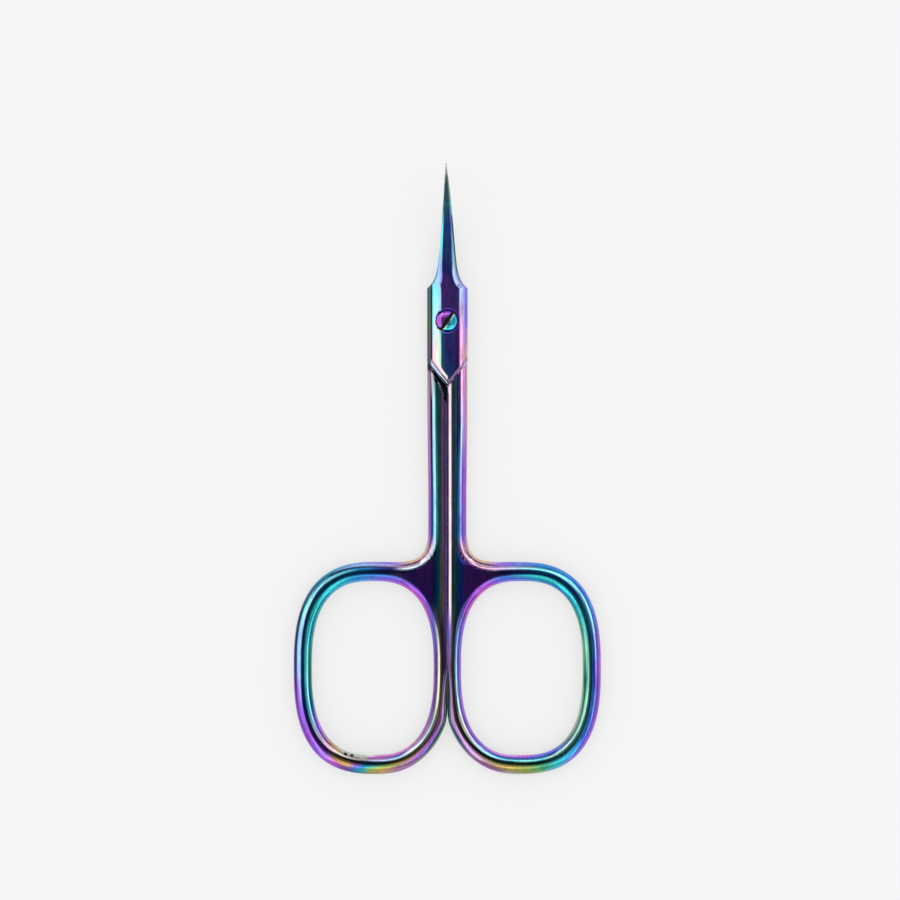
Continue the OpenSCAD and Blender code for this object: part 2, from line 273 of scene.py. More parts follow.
def buildHandle(endOnTop, half):
    # One closed skin for the right-hand ring, web and shank, with a tongue that ends inside the lobe
    s = meshSteps
    hole, outer = handlePlan()
    lines, across, base = len(outer), s["across"], s["base"]
    t = (1 - np.cos(math.pi * np.arange(across + 1) / across)) / 2
    cells = hole[:, None, :] + (outer - hole)[:, None, :] * t[None, :, None]
    cols = (1 - np.cos(math.pi * np.arange(base + 1) / base)) / 2
    x0 = handle["seamX"]
    endY = armY(mix(x0, handle["shankTop"], cols)) - joint["endClearance"]
    straightRun = 0.9            # the rest of the shank's rows crowd towards its rounded end
    crowded = np.sin(np.arange(1, s["end"] + 1) / s["end"] * math.pi / 2)
    rises = np.concatenate([np.arange(1, s["shank"] + 1) / s["shank"] * straightRun,
                            straightRun + (1 - straightRun) * crowded])
    rows = []
    for rise in rises:
        y = handle["baseY"] + (endY - handle["baseY"]) * rise
        rows.append(np.column_stack([mix(x0, shankX(y), cols), y]))
    shank = np.array(rows)

    def skin(p, side):
        x, y = p[..., 0], p[..., 1]
        share = heightShare(x, y, (side > 0) == endOnTop, half)
        return np.stack([x, y, midHeight(y) + side * halfHeight(y) * share], axis=-1)

    points = []

    def add(p):
        points.append(p)
        return len(points) - 1

    front = skin(cells, 1)
    back = skin(cells, -1)
    baseLine = lines - base
    frontId = np.zeros((lines, across + 1), int)
    backId = np.zeros((lines, across + 1), int)
    for i in range(lines):
        for k in range(across + 1):
            onRim = k == 0 or (k == across and not (baseLine < i < lines))
            frontId[i, k] = add(front[i, k])
            if onRim:
                points[-1] = (front[i, k] + back[i, k]) / 2
                backId[i, k] = frontId[i, k]
            else:
                backId[i, k] = add(back[i, k])
    faces = []
    for i in range(lines):
        n = (i + 1) % lines
        for k in range(across):
            faces.append((frontId[i, k], frontId[n, k], frontId[n, k + 1], frontId[i, k + 1]))
            faces.append((backId[i, k], backId[i, k + 1], backId[n, k + 1], backId[n, k]))
    lastFront = [frontId[(baseLine + j) % lines, across] for j in range(base + 1)]
    lastBack = [backId[(baseLine + j) % lines, across] for j in range(base + 1)]
    frontRows, backRows = skin(shank, 1), skin(shank, -1)

    def joinRow(nowFront, nowBack):
        for j in range(base):
            faces.append((lastFront[j], lastFront[j + 1], nowFront[j + 1], nowFront[j]))
            faces.append((lastBack[j], nowBack[j], nowBack[j + 1], lastBack[j + 1]))

    for k in range(len(shank)):
        nowFront, nowBack = [], []
        for j in range(base + 1):
            nowFront.append(add(frontRows[k, j]))
            nowBack.append(nowFront[-1] if j in (0, base) else add(backRows[k, j]))
        joinRow(nowFront, nowBack)
        lastFront, lastBack = nowFront, nowBack
    # Tongue: drawn in from the edges and clear of the mating face
    centre = midZ - tongue["layer"] if endOnTop else midZ + tongue["layer"]
    endRows = (endY + tongue["lift"], np.full_like(endY, tongue["endY"]))
    for rowY, shrink in zip(endRows, tongue["shrinks"]):
        nowFront, nowBack = [], []
        for j in range(base + 1):
            x = mix(mix(x0, tongue["width"], cols[j]), tongue["aimX"], shrink)
            foot = tongue["moundFoot"]
            rise = tongue["mound"] * tongue["flatten"] * math.sin(math.pi * mix(foot, 1 - foot, cols[j]))
            nowFront.append(add(np.array([x, rowY[j], centre + rise])))
            nowBack.append(nowFront[-1] if j in (0, base) else add(np.array([x, rowY[j], centre - rise])))
        joinRow(nowFront, nowBack)
        lastFront, lastBack = nowFront, nowBack
    faces.append(tuple(lastFront + lastBack[1:-1][::-1]))
    return np.array(points), faces


# Lobe and blade, worked out for the front half
blade = {
    "tipHalfWidth": 0.1, "taper": 0.08, "flare": 1.15,
    "curveStart": 4.0, "curveRadius": 42.0,
    "baseThickness": 1.6, "tipThickness": 0.35,
    "tipLean": 0.17,             # both blades end a little to the left
    "edgeStep": 0.18,            # how far the lower blade's back stands out beside the upper blade's edge
    "leanStart": 14, "stepStart": 5.2, "stepRun": 2.5, "stepFade": 6,
}
# Faces of the lobe as (height at the edge, slope inwards), and of the blade as shares of its thickness
faceShape = {
    "turnY": 3.5, "turnRun": 5.5,                    # where the lobe's faces turn into the blade's
    "lobeLeft": (0.52, 0.72), "lobeRight": (0.7968, 0.66), "lobeFlank": (0.1, 1.8),
    "rootLeft": (0.5, 2.0), "tipLeft": (0.6, 3.0), "bladeRight": (0.76, 1.3),
    "rootFlank": 0.2, "tipFlank": 0.5, "flankSlope": 6.0, "thinning": 0.8,
    "lobeCrown": (0.4, 0.012), "bladeCrown": (0.45, 0.3),    # middle and fall
}
# Faces along the chevron's arms, in mm: the left one narrows towards the vertex
armShape = {
    "facet": 1.17, "facetSlope": 0.45, "facetStart": 0.36, "facetWidth": (0.25, 0.95), "facetReach": 2.5,
    "strip": (0.95, 0.75), "riser": (1.22, 0.9),
}
tipArc = blade["curveStart"] + blade["curveRadius"] * math.asin(
    (halfHigh[1] - blade["curveStart"]) / blade["curveRadius"])
lobeThickness = midZ - joint["gap"] / 2


def plainHalfWidth(y):
    return blade["tipHalfWidth"] + blade["taper"] * (tipArc - y)


def flaredHalfWidth(y):
    rise = joint["flankX"] - plainHalfWidth(joint["shoulderY"])
    return plainHalfWidth(y) + rise * np.exp(-(y - joint["shoulderY"]) / blade["flare"])


def spineX(y):
    return np.where(y < joint["shoulderY"], -joint["freeX"],
                    -np.minimum(joint["freeX"], flaredHalfWidth(y)))


def cuttingX(y):
    inset = blade["edgeStep"] * smooth((y - blade["stepStart"]) / blade["stepRun"])
    inset = inset * smooth((tipArc - y) / blade["stepFade"])
    return np.where(y < joint["shoulderY"], joint["flankX"], flaredHalfWidth(y) - inset)


def topHeight(x, y):
    # Each face is one plane that changes smoothly from the lobe to the blade, so its edges stay clean
    f, a = faceShape, armShape
    left, right = x - spineX(y), cuttingX(y) - x
    s = np.clip(left / (left + right), 0, 1)
    share = np.clip((y - joint["shoulderY"]) / (tipArc - joint["shoulderY"]), 0, 1)
    thick = mix(blade["baseThickness"], blade["tipThickness"], share ** f["thinning"])
    t = smooth((y - f["turnY"]) / f["turnRun"])

    def face(lobeFace, inwards, bladeShare):
        edge, slope = lobeFace
        return mix(edge + slope * inwards, thick * bladeShare, t)

    (rootEdge, rootSlope), (tipEdge, tipSlope) = f["rootLeft"], f["tipLeft"]
    bevelLeft = face(f["lobeLeft"], left, mix(rootEdge, tipEdge, share) + mix(rootSlope, tipSlope, share) * s)
    bevelRight = face(f["lobeRight"], right, f["bladeRight"][0] + f["bladeRight"][1] * (1 - s))
    flankShare = mix(f["rootFlank"], f["tipFlank"], share) + f["flankSlope"] * (1 - s)
    flankRight = face(f["lobeFlank"], right, flankShare)
    crown = mix(lobeThickness - f["lobeCrown"][1] * (x - f["lobeCrown"][0]) ** 2,
                thick * (1.0 - f["bladeCrown"][1] * (s - f["bladeCrown"][0]) ** 2), t)
    z = softMin(bevelLeft, crown, 0.05)
    z = softMin(z, bevelRight, 0.04)
    z = softMin(z, flankRight, 0.06)
    arm = aboveArm(x, y)
    progress = np.clip((joint["vertexX"] - x) / a["facetReach"], 0, 1)
    widening = np.clip(arm - a["facetStart"], 0, None) / mix(*a["facetWidth"], progress)
    facet = a["facet"] + a["facetSlope"] * widening
    strip = a["strip"][0] + a["strip"][1] * arm
    riser = a["riser"][0] + a["riser"][1] * arm
    onLeft = smooth((joint["vertexX"] - x) / 0.1 + 0.5)
    z = softMin(z, np.where(x < joint["vertexX"], facet, 9.0), 0.04)
    z = softMin(z, mix(riser, strip, onLeft), 0.03)
    return np.minimum(z, lobeThickness)


def curved(p, side):
    # Lifts the blade along its curve; height counts from the mating face
    x, y = p[..., 0], p[..., 1]
    lean = smooth((y - blade["leanStart"]) / (tipArc - blade["leanStart"])) ** 2
    x = x - side * blade["tipLean"] * lean
    z = side * (p[..., 2] + joint["gap"] / 2)
    turn = np.clip(y - blade["curveStart"], 0, None) / blade["curveRadius"]
    radius = blade["curveRadius"] - z
    liftedY = np.where(y > blade["curveStart"], blade["curveStart"] + radius * np.sin(turn), y)
    liftedZ = np.where(y > blade["curveStart"], midZ + blade["curveRadius"] - radius * np.cos(turn), midZ + z)
    return np.stack([side * x, liftedY, liftedZ], axis=-1)


def buildLobe(side):
    def spread(a, b, n):
        return mix(a, b, np.arange(n) / n)

    width = joint["flankX"] + joint["freeX"]
    marks = [0, 1.5, joint["vertexX"] + joint["freeX"], width - 1.3, width - 0.5, width]
    counts = [20, 12, 16, 14, 12]
    cols = np.concatenate([spread(marks[i], marks[i + 1], counts[i]) for i in range(5)] + [[width]]) / width
    atRest = -joint["freeX"] + cols * width
    lowY = armY(atRest)
    rows = [lowY + v for v in spread(0, 1.3, 22)]
    rows += [mix(lowY + 1.3, -2.0, v) for v in np.arange(16) / 16]
    flat = np.concatenate([spread(-2.0, 4.0, 10), spread(4.0, 9.0, 60), spread(9.0, tipArc, 56), [tipArc]])
    rows += [np.full_like(lowY, v) for v in flat]
    rows = np.array(rows)
    x = spineX(rows) + cols[None, :] * (cuttingX(rows) - spineX(rows))
    top = curved(np.stack([x, rows, topHeight(x, rows)], axis=-1), side)
    bottom = curved(np.stack([x, rows, np.zeros_like(x)], axis=-1), side)
    nRows, nCols = x.shape
    firstFlat = 38
    points = list(top.reshape(-1, 3))
    topId = np.arange(nRows * nCols).reshape(nRows, nCols)
    faces = []
    for k in range(nRows - 1):
        for i in range(nCols - 1):
            faces.append((topId[k, i], topId[k, i + 1], topId[k + 1, i + 1], topId[k + 1, i]))
    lowId = {}
    for k in range(nRows):
        for i in range(nCols) if k in (0, nRows - 1) else (0, nCols - 1):
            lowId[k, i] = len(points)
            points.append(bottom[k, i])
    for i in range(nCols - 1):
        faces.append((topId[0, i + 1], topId[0, i], lowId[0, i], lowId[0, i + 1]))
        faces.append((topId[-1, i], topId[-1, i + 1], lowId[nRows - 1, i + 1], lowId[nRows - 1, i]))
    for k in range(nRows - 1):
        faces.append((topId[k, 0], topId[k + 1, 0], lowId[k + 1, 0], lowId[k, 0]))
        faces.append((topId[k + 1, -1], topId[k, -1], lowId[k, nCols - 1], lowId[k + 1, nCols - 1]))
    end = [lowId[0, i] for i in range(nCols)]
    end += [lowId[k, nCols - 1] for k in range(1, firstFlat + 1)]
    end += [lowId[k, 0] for k in range(firstFlat, 0, -1)]
    faces.append(tuple(end[::-1]))
    for k in range(firstFlat, nRows - 2):
        faces.append((lowId[k, 0], lowId[k + 1, 0], lowId[k + 1, nCols - 1], lowId[k, nCols - 1]))
    tip = [lowId[nRows - 2, 0]] + [lowId[nRows - 1, i] for i in range(nCols)] + [lowId[nRows - 2, nCols - 1]]
    faces.append(tuple(tip))
    return np.array(points), faces


def meshObject(name, points, faces, flip=False):
    mesh = bpy.data.meshes.new(name)
    mesh.from_pydata([tuple(p * mm) for p in points], [], [f[::-1] if flip else f for f in faces])
    mesh.validate()
    mesh.polygons.foreach_set("use_smooth", [True] * len(mesh.polygons))
    made = bpy.data.objects.new(name, mesh)
    bpy.context.scene.collection.objects.link(made)
    return made


def revolved(name, profile, steps=128):
    # Solid of revolution about +Z, from (radius, height) pairs that start and end on the axis
    ring = [p for p in profile if p[0] > 0]
    points = [np.array([r * math.cos(2 * math.pi * k / steps), r * math.sin(2 * math.pi * k / steps), z])
              for r, z in ring for k in range(steps)]
    faces = []
    for i in range(len(ring) - 1):
        for k in range(steps):
            n = (k + 1) % steps
            faces.append((i * steps + k, i * steps + n, (i + 1) * steps + n, (i + 1) * steps + k))
    low, high = len(points), len(points) + 1
    points += [np.array([0, 0, profile[0][1]]), np.array([0, 0, profile[-1][1]])]
    last = (len(ring) - 1) * steps
    for k in range(steps):
        n = (k + 1) % steps
        faces.append((low, n, k))
        faces.append((high, last + k, last + n))
    return meshObject(name, points, faces)


def combine(target, other, operation):
    change = target.modifiers.new(operation.lower(), "BOOLEAN")
    change.operation = operation
    change.solver = "EXACT"
    change.object = other
    deps = bpy.context.evaluated_depsgraph_get()
    made = bpy.data.meshes.new_from_object(target.evaluated_get(deps))
    target.modifiers.clear()
    target.data = made
    bpy.data.objects.remove(other)


print("building the halves")
screw = {
    "headRadius": 1.64, "pocketRadius": 1.77, "pocketFloor": 2.3, "play": 0.03, "chamfer": 0.12,
    "pocketChamfer": (0.16, 0.07), "shoulderRadius": 1.1, "threadRadius": 0.97, "coreRadius": 0.83,
    "endZ": 0.08, "threads": 3, "threadStart": 0.28, "threadPitch": 0.4, "threadDepth": 0.12,
    "crestWidth": 0.06,
    "slotWidth": 0.5, "slotDepth": 0.5, "slotAngle": 55, "domeAngle": math.radians(36), "proud": 0.06,
}


def buildHalf(name, side):
    points, faces = buildHandle(side < 0, side)
    if side < 0:
        points = points * np.array([-1, 1, 1])
    body = meshObject(name, points, faces, flip=side < 0)
    lobePoints, lobeFaces = buildLobe(side)
    lobe = meshObject(name + "_lobe", lobePoints, lobeFaces)
    combine(body, lobe, "UNION")
    if side > 0:
        bore, pocket = screw["shoulderRadius"] + screw["play"], screw["pocketRadius"]
        top, above = joint["thickness"], joint["thickness"] + 1
        wide, deep = screw["pocketChamfer"]
        profile = [(0, -1), (bore, -1), (bore, screw["pocketFloor"]), (pocket, screw["pocketFloor"]),
                   (pocket, top - deep), (pocket + wide, top), (pocket + wide, above), (0, above)]
    else:
        bore = screw["threadRadius"] + screw["play"]
        wide = bore + screw["chamfer"]
        profile = [(0, -1), (wide, -1), (wide, -0.02), (bore, 0.1), (bore, 5), (0, 5)]
    combine(body, revolved(name + "_bore", profile), "DIFFERENCE")
    body.data.polygons.foreach_set("use_smooth", [True] * len(body.data.polygons))
    body.data.set_sharp_from_angle(angle=math.radians(32))
    return body


frontHalf = buildHalf("front_half_metal", 1)
rearHalf = buildHalf("rear_half_metal", -1)
print("halves:", len(frontHalf.data.vertices), len(rearHalf.data.vertices))


def buildScrew():
    s = screw
    top, core = joint["thickness"], s["coreRadius"]
    crest, rise = core + s["threadDepth"], (s["threadPitch"] - s["crestWidth"]) / 2
    threads = []
    for k in range(s["threads"]):
        z = s["threadStart"] + s["threadPitch"] * k
        threads += [(core, z), (crest, z + rise), (crest, z + rise + s["crestWidth"])]
    crown = s["headRadius"] / math.sin(s["domeAngle"])
    drop = crown * (1 - math.cos(s["domeAngle"]))
    edgeZ = top + s["proud"] - drop
    dome = [(crown * math.sin(a), edgeZ + drop - crown * (1 - math.cos(a)))
            for a in np.linspace(s["domeAngle"] * 0.96, 0.02, 30)]
    headZ = s["pocketFloor"] + 0.02
    profile = [(0, s["endZ"]), (core - 0.11, s["endZ"]), (core, s["endZ"] + s["chamfer"])] + threads
    profile += [(core, 1.5), (core, midZ), (s["shoulderRadius"], midZ), (s["shoulderRadius"], headZ),
                (s["headRadius"] - 0.05, headZ), (s["headRadius"], headZ + 0.05),
                (s["headRadius"], edgeZ - 0.03)]
    profile += dome + [(0, edgeZ + drop)]
    head = revolved("pivot_screw_metal", profile, 160)
    # Slot with a slightly rounded floor
    w, reach, floorZ, lip = s["slotWidth"] / 2, 3.0, top - s["slotDepth"], 0.06
    across = [(-w, top + 1), (-w, floorZ + lip), (-w * 0.6, floorZ), (w * 0.6, floorZ), (w, floorZ + lip),
              (w, top + 1)]
    turn = math.radians(s["slotAngle"])
    ux, uy = np.array([math.cos(turn), math.sin(turn)]), np.array([-math.sin(turn), math.cos(turn)])
    points = []
    for end in (-reach, reach):
        for v, z in across:
            p = ux * end + uy * v
            points.append(np.array([p[0], p[1], z]))
    n = len(across)
    faces = [(i, (i + 1) % n, n + (i + 1) % n, n + i) for i in range(n)]
    faces += [tuple(range(n))[::-1], tuple(range(n, 2 * n))]
    combine(head, meshObject("slot_cutter", points, faces), "DIFFERENCE")
    head.data.polygons.foreach_set("use_smooth", [True] * len(head.data.polygons))
    head.data.set_sharp_from_angle(angle=math.radians(30))
    return head


screwMetal = buildScrew()
print("screw:", len(screwMetal.data.vertices))


# Colours of the interference film; black, navy and the pale tints such as cream, ice and blush also serve as
# painted shade and painted highlights
tint = {
    "black": (0.004, 0.008, 0.02), "navy": (0.02, 0.03, 0.17), "deepTeal": (0.01, 0.13, 0.18),
    "teal": (0.04, 0.55, 0.6), "cyan": (0.25, 0.95, 1.0), "ice": (0.62, 0.93, 1.0),
    "pale": (0.42, 0.62, 1.0), "lilac": (0.7, 0.62, 1.0), "violet": (0.28, 0.16, 0.85),
    "blue": (0.06, 0.24, 0.8), "purple": (0.3, 0.09, 0.58), "magenta": (0.62, 0.12, 0.6),
    "pink": (0.95, 0.45, 0.75), "blush": (1.0, 0.78, 0.95), "cream": (1.0, 0.93, 0.75),
    "gold": (0.8, 0.5, 0.12), "olive": (0.3, 0.33, 0.08), "indigo": (0.1, 0.03, 0.3),
    "royal": (0.2, 0.1, 0.62), "lime": (0.35, 0.6, 0.1), "ash": (0.3, 0.22, 0.36),
    "storm": (0.3, 0.36, 0.6), "ultra": (0.07, 0.1, 0.62), "cobalt": (0.08, 0.2, 0.72),
    "denim": (0.08, 0.29, 0.9), "petrol": (0.12, 0.46, 0.6), "azure": (0.03, 0.22, 0.62),
    "marine": (0.01, 0.1, 0.34), "sapphire": (0.02, 0.07, 0.45), "pool": (0.04, 0.25, 0.26),
    "steel": (0.11, 0.15, 0.23), "heather": (0.5, 0.3, 0.6), "orchid": (0.17, 0.04, 0.42),
    "copper": (0.5, 0.3, 0.17), "rose": (0.4, 0.18, 0.26), "ink": (0.025, 0.085, 0.11),
    "pine": (0.05, 0.085, 0.07), "green": (0.08, 0.4, 0.22), "darkGreen": (0.01, 0.13, 0.09),
    "mint": (0.42, 0.95, 0.72), "sage": (0.33, 0.47, 0.34), "maroon": (0.15, 0.05, 0.11),
    "mauve": (0.5, 0.25, 0.45), "plum": (0.14, 0.08, 0.22), "tan": (0.7, 0.48, 0.35),
    "slate": (0.5, 0.88, 0.92), "moss": (0.65, 0.9, 0.62), "dusk": (0.85, 0.62, 0.88),
}

# Below, 1 is the right-hand half and -1 the left-hand one. A table's row is a place, then its bands. The
# bands hold the film's colour with the light painted in: pale bands are painted highlights, black and dark
# bands painted shade.
# Rings: angle in degrees, then the bands from the finger hole (0) to the outside (100); the cream, ice, pale
# and mint bands are painted highlights and the black and navy ones painted shade
rings = {
    -1: [
        (-180, "0 purple, 20 plum, 29 navy, 36 cream, 46 cream, 52 olive, 60 maroon, 76 maroon, 84 navy, "
               "100 plum"),
        (-150, "0 purple, 18 plum, 26 steel, 34 cream, 45 cream, 50 olive, 60 maroon, 74 heather, 84 sage"),
        (-132, "0 purple, 18 mauve, 24 steel, 30 ice, 42 cream, 47 black, 54 maroon, 68 purple, 80 steel, "
               "92 darkGreen, 100 sage"),
        (-118, "17 mauve, 23 pale, 32 cream, 38 black, 46 olive, 56 rose, 70 purple, 84 steel, 100 mauve"),
        (-104, "0 pink, 12 magenta, 20 blue, 26 pale, 32 ice, 37 black, 44 black, 52 gold, 62 olive, "
               "72 rose, 86 mauve, 100 plum"),
        (-95, "0 mauve, 14 magenta, 24 lilac, 31 pale, 36 black, 43 black, 52 green, 62 lime, 75 gold, "
              "90 copper, 100 olive"),
        (-88, "0 blush, 16 magenta, 25 lilac, 32 black, 42 navy, 52 marine, 60 teal, 74 lime, 90 olive, "
              "100 darkGreen"),
        (-84, "0 sage, 20 cream, 30 black, 42 navy, 52 azure, 66 azure, 78 teal, 100 deepTeal"),
        (-80, "0 sage, 22 cream, 31 black, 41 black, 50 magenta, 64 violet, 82 azure, 100 navy"),
        (-75, "0 sage, 25 cream, 31 black, 40 black, 47 gold, 62 gold, 74 copper, 85 orchid, 100 plum"),
        (-68, "0 sage, 14 gold, 26 cream, 31 black, 41 black, 50 gold, 64 copper, 78 magenta, 100 purple"),
        (-61, "12 copper, 19 maroon, 25 pink, 34 blush, 39 black, 46 orchid, 56 orchid, 70 violet, "
              "100 purple"),
        (-47, "0 magenta, 8 violet, 22 violet, 28 ice, 38 pale, 44 navy, 54 navy, 62 magenta, 70 violet, "
              "85 orchid, 100 purple"),
        (-32, "0 green, 8 marine, 18 deepTeal, 25 cyan, 36 teal, 44 marine, 52 sapphire, 60 sapphire, "
              "66 violet, 78 violet, 88 orchid, 100 purple"),
        (-16, "0 sage, 7 darkGreen, 18 pool, 25 cyan, 38 teal, 46 marine, 54 sapphire, 60 sapphire, "
              "65 lilac, 77 violet, 84 orchid, 92 navy, 100 magenta"),
        (0, "0 sage, 6 darkGreen, 17 pool, 24 cyan, 38 teal, 46 marine, 58 marine, 63 pale, 78 pale, "
            "83 navy, 94 navy, 100 purple"),
        (40, "0 teal, 7 pool, 15 teal, 44 teal, 50 marine, 60 marine, 66 ice, 79 cyan, 85 black, 92 navy, "
             "100 steel"),
        (66, "0 azure, 10 teal, 36 teal, 44 marine, 56 marine, 60 cyan, 68 cyan, 73 black, 82 navy, "
             "100 teal"),
        (82, "12 blue, 24 azure, 33 azure, 40 marine, 60 marine, 70 azure, 78 navy, 84 pale, 100 blue"),
        (98, "15 violet, 33 blue, 40 navy, 74 navy, 80 lilac, 92 violet"),
    ],
    1: [
        (-180, "0 purple, 20 violet, 28 blue, 34 pale, 42 pale, 48 black, 60 darkGreen, 70 maroon, "
               "80 maroon, 86 steel, 100 blush"),
        (-150, "0 purple, 18 violet, 25 pale, 32 ice, 37 steel, 43 darkGreen, 55 maroon, 66 rose, "
               "74 heather, 84 pale, 100 sage"),
        (-133, "0 purple, 18 violet, 26 cream, 36 cream, 41 darkGreen, 50 black, 57 rose, 66 heather, "
               "74 heather, 82 navy, 92 deepTeal, 100 sage"),
        (-120, "0 purple, 17 violet, 25 pale, 33 ice, 38 black, 48 black, 56 rose, 66 heather, 76 heather, "
               "86 plum, 100 mauve"),
        (-106, "0 pink, 15 violet, 21 blue, 27 cyan, 33 pale, 37 black, 48 darkGreen, 56 olive, 68 copper, "
               "80 rose, 90 plum, 100 mauve"),
        (-97, "0 pink, 15 violet, 21 blue, 28 cyan, 34 black, 44 darkGreen, 54 olive, 68 gold, 80 olive, "
              "100 mauve"),
        (-88, "0 magenta, 16 violet, 22 azure, 28 cyan, 35 mint, 40 black, 50 darkGreen, 60 olive, 72 lime, "
              "86 olive"),
        (-78, "0 violet, 16 blue, 22 azure, 28 cyan, 34 teal, 40 black, 50 darkGreen, 60 green, 88 green, "
              "100 sage"),
        (-70, "0 violet, 16 blue, 22 black, 28 ice, 36 mint, 41 darkGreen, 50 pool, 58 pool, 72 teal, "
              "86 teal, 100 blue"),
        (-58, "0 sage, 14 steel, 20 steel, 27 ice, 36 mint, 42 pool, 52 pool, 62 azure, 76 azure, "
              "88 violet, 100 purple"),
        (-45, "14 sage, 19 black, 26 mint, 38 mint, 43 pool, 52 pool, 60 azure, 72 blue, 84 violet, "
              "100 purple"),
        (-30, "0 sage, 12 green, 18 black, 24 mint, 36 mint, 42 pool, 50 marine, 58 azure, 68 blue, "
              "78 violet, 88 purple"),
        (-10, "0 sage, 8 darkGreen, 18 darkGreen, 25 green, 35 mint, 41 pool, 48 marine, 58 sapphire, "
              "68 orchid, 78 violet, 88 purple, 100 mauve"),
        (18, "0 sage, 10 green, 20 mint, 34 green, 42 pool, 56 marine, 65 azure, 70 pale, 75 blue, "
             "82 violet, 92 purple, 100 mauve"),
        (42, "0 green, 10 pool, 20 teal, 33 teal, 40 pool, 50 marine, 62 marine, 67 ice, 74 cyan, 79 blue, "
             "90 blue, 100 violet"),
        (80, "12 azure, 22 teal, 33 teal, 39 marine, 60 marine, 65 cyan, 72 cyan, 78 azure, 90 azure, "
             "100 blue"),
        (100, "0 violet, 25 blue, 35 navy, 58 navy, 66 lilac, 76 lilac, 83 violet"),
    ],
}

# Shanks: bands in mm from the seam; the black at the seam is painted shade between the halves, and the blush
# on the right-hand half a painted highlight
shanks = {
    -1: "0.03 black, 0.1 indigo, 0.22 ash, 0.3 heather, 0.38 plum, 0.46 plum, 0.56 heather, 0.78 heather, "
        "0.98 steel, 1.15 pool",
    1: "0.04 black, 0.13 plum, 0.2 blush, 0.66 blush, 0.72 steel, 0.9 steel, 1.15 pool, 1.38 petrol, "
       "1.7 marine",
}
# Outer edge of each shank: height in mm, then the bands in mm in from the flank; the black bands are painted
# shade and the ice, cyan, pale, pink and blush bands painted highlights
flanks = {
    -1: [
        (-31, "0 mauve, 0.08 purple, 0.34 purple, 0.41 indigo, 0.5 navy, 0.7 navy, 0.78 blue, 0.88 cyan, "
              "1.42 cyan, 1.54 pool"),
        (-12, "0 ash, 0.1 mauve, 0.36 mauve, 0.44 black, 0.72 black, 0.8 ice, 1.3 cyan, 1.42 deepTeal"),
        (-7, "0.36 ash, 0.42 black, 0.52 black, 0.58 blush, 0.8 blush, 0.95 navy"),
    ],
    1: [
        (-31, "0 mauve, 0.08 purple, 0.6 purple, 0.72 violet, 1.0 blue, 1.12 azure, 1.25 marine"),
        (-22, "0 mauve, 0.08 purple, 0.6 purple, 0.72 violet, 0.85 pale, 1.02 pale, 1.14 azure, 1.28 marine"),
        (-16, "0.3 mauve, 0.45 purple, 0.56 lilac, 0.92 pale, 1.04 navy"),
        (-8, "0 tan, 0.25 mauve, 0.4 purple, 0.48 pink, 0.95 pink, 1.04 indigo, 1.56 navy"),
    ],
}
# The same round the fillet above each ring; the black line is painted shade and the pink, blush and ice band
# a painted highlight
fillets = {
    -1: "0.3 tan, 0.42 maroon, 0.48 black, 0.56 black, 0.63 pink, 0.8 blush, 1.05 ice, 1.28 black, "
        "1.56 navy",
    1: "0.3 tan, 0.4 maroon, 0.45 black, 0.52 black, 0.6 pink, 0.8 blush, 1.02 pink, 1.25 black, "
       "1.56 indigo",
}
# Webs between the shanks and the rings, in mm from the seam; black at the seam is painted shade, and the
# blush on the right-hand web a painted highlight
webs = {
    -1: "0.03 black, 0.1 indigo, 0.22 ash, 0.3 heather, 0.38 plum, 0.5 heather, 0.78 rose, 0.95 olive, "
        "1.1 pool, 1.5 marine, 2.0 navy, 2.7 indigo",
    1: "0.04 black, 0.13 plum, 0.2 blush, 0.6 blush, 0.68 olive, 0.8 black, 1.05 pool, 1.3 deepTeal, "
       "1.6 marine, 2.1 sapphire, 2.8 indigo",
}

# Lobe and blade: height in mm, then the bands from the free edge (0) to the far one (100); the black line
# along the free edge is painted shade, and the cream, ice, cyan, blush and pink bevels painted highlights
lobeBands = [
    (-10, "3 black, 4.5 pink, 7 blush, 12 cream, 20 cream, 26 mint, 30 petrol, 36 cobalt, 60 ultra, "
          "70 indigo, 79 purple, 80.5 blush, 89 pink, 92 tan"),
    (-5, "3 black, 4.5 pink, 7 blush, 10 cream, 20 cream, 26 mint, 31 petrol, 37 cobalt, 52 ultra, "
         "62 cobalt, 70 indigo, 79 purple, 80.5 pink, 89 pink, 92 mauve, 100 tan"),
    (0, "3 black, 4.5 cyan, 7 ice, 20 ice, 26 pale, 31 blue, 38 royal, 60 royal, 79 purple, 80.5 pink, "
        "89 lilac, 92 violet, 100 purple"),
    (4.5, "3 black, 5 cyan, 20 cyan, 26 pale, 30 royal, 50 royal, 72 ultra, 79 pale, 89 pale, 93 violet, "
          "100 blue"),
    (8, "0 blue, 10 pale, 20 pale, 26 violet, 32 ultra, 72 ultra, 82 pale, 90 pale, 100 navy"),
    (11.5, "14 cyan, 22 blue, 30 ultra, 50 cobalt, 80 ultra, 88 blue, 94 teal, 100 deepTeal"),
    (14, "12 cyan, 20 teal, 32 denim, 60 denim, 85 ultra, 100 navy"),
    (16.5, "10 deepTeal, 30 petrol, 60 denim, 100 navy"),
    (17.4, "10 deepTeal, 30 petrol, 60 petrol, 90 ink"),
    (17.9, "0 deepTeal, 20 ink"),
    (20, "0 pine, 40 ink, 100 pine"),
    (22.4, "0 sage, 50 pine, 100 sage"),
]
# Ground strips along the two arms of the chevron, in mm up from the arm; the lilac line at the foot of the
# right-hand one is a painted highlight
leftArm = "0 storm, 0.14 slate, 0.24 lilac, 0.34 mauve, 0.5 mauve, 0.58 pink"
rightArm = "0 lilac, 0.1 storm, 0.22 mauve, 0.45 mauve, 0.55 maroon"
# Flat faces between the halves, by height in mm
matingBands = "-7 slate, -4 dusk, -1 moss, 3 slate, 6 slate, 14 teal, 22 sage"
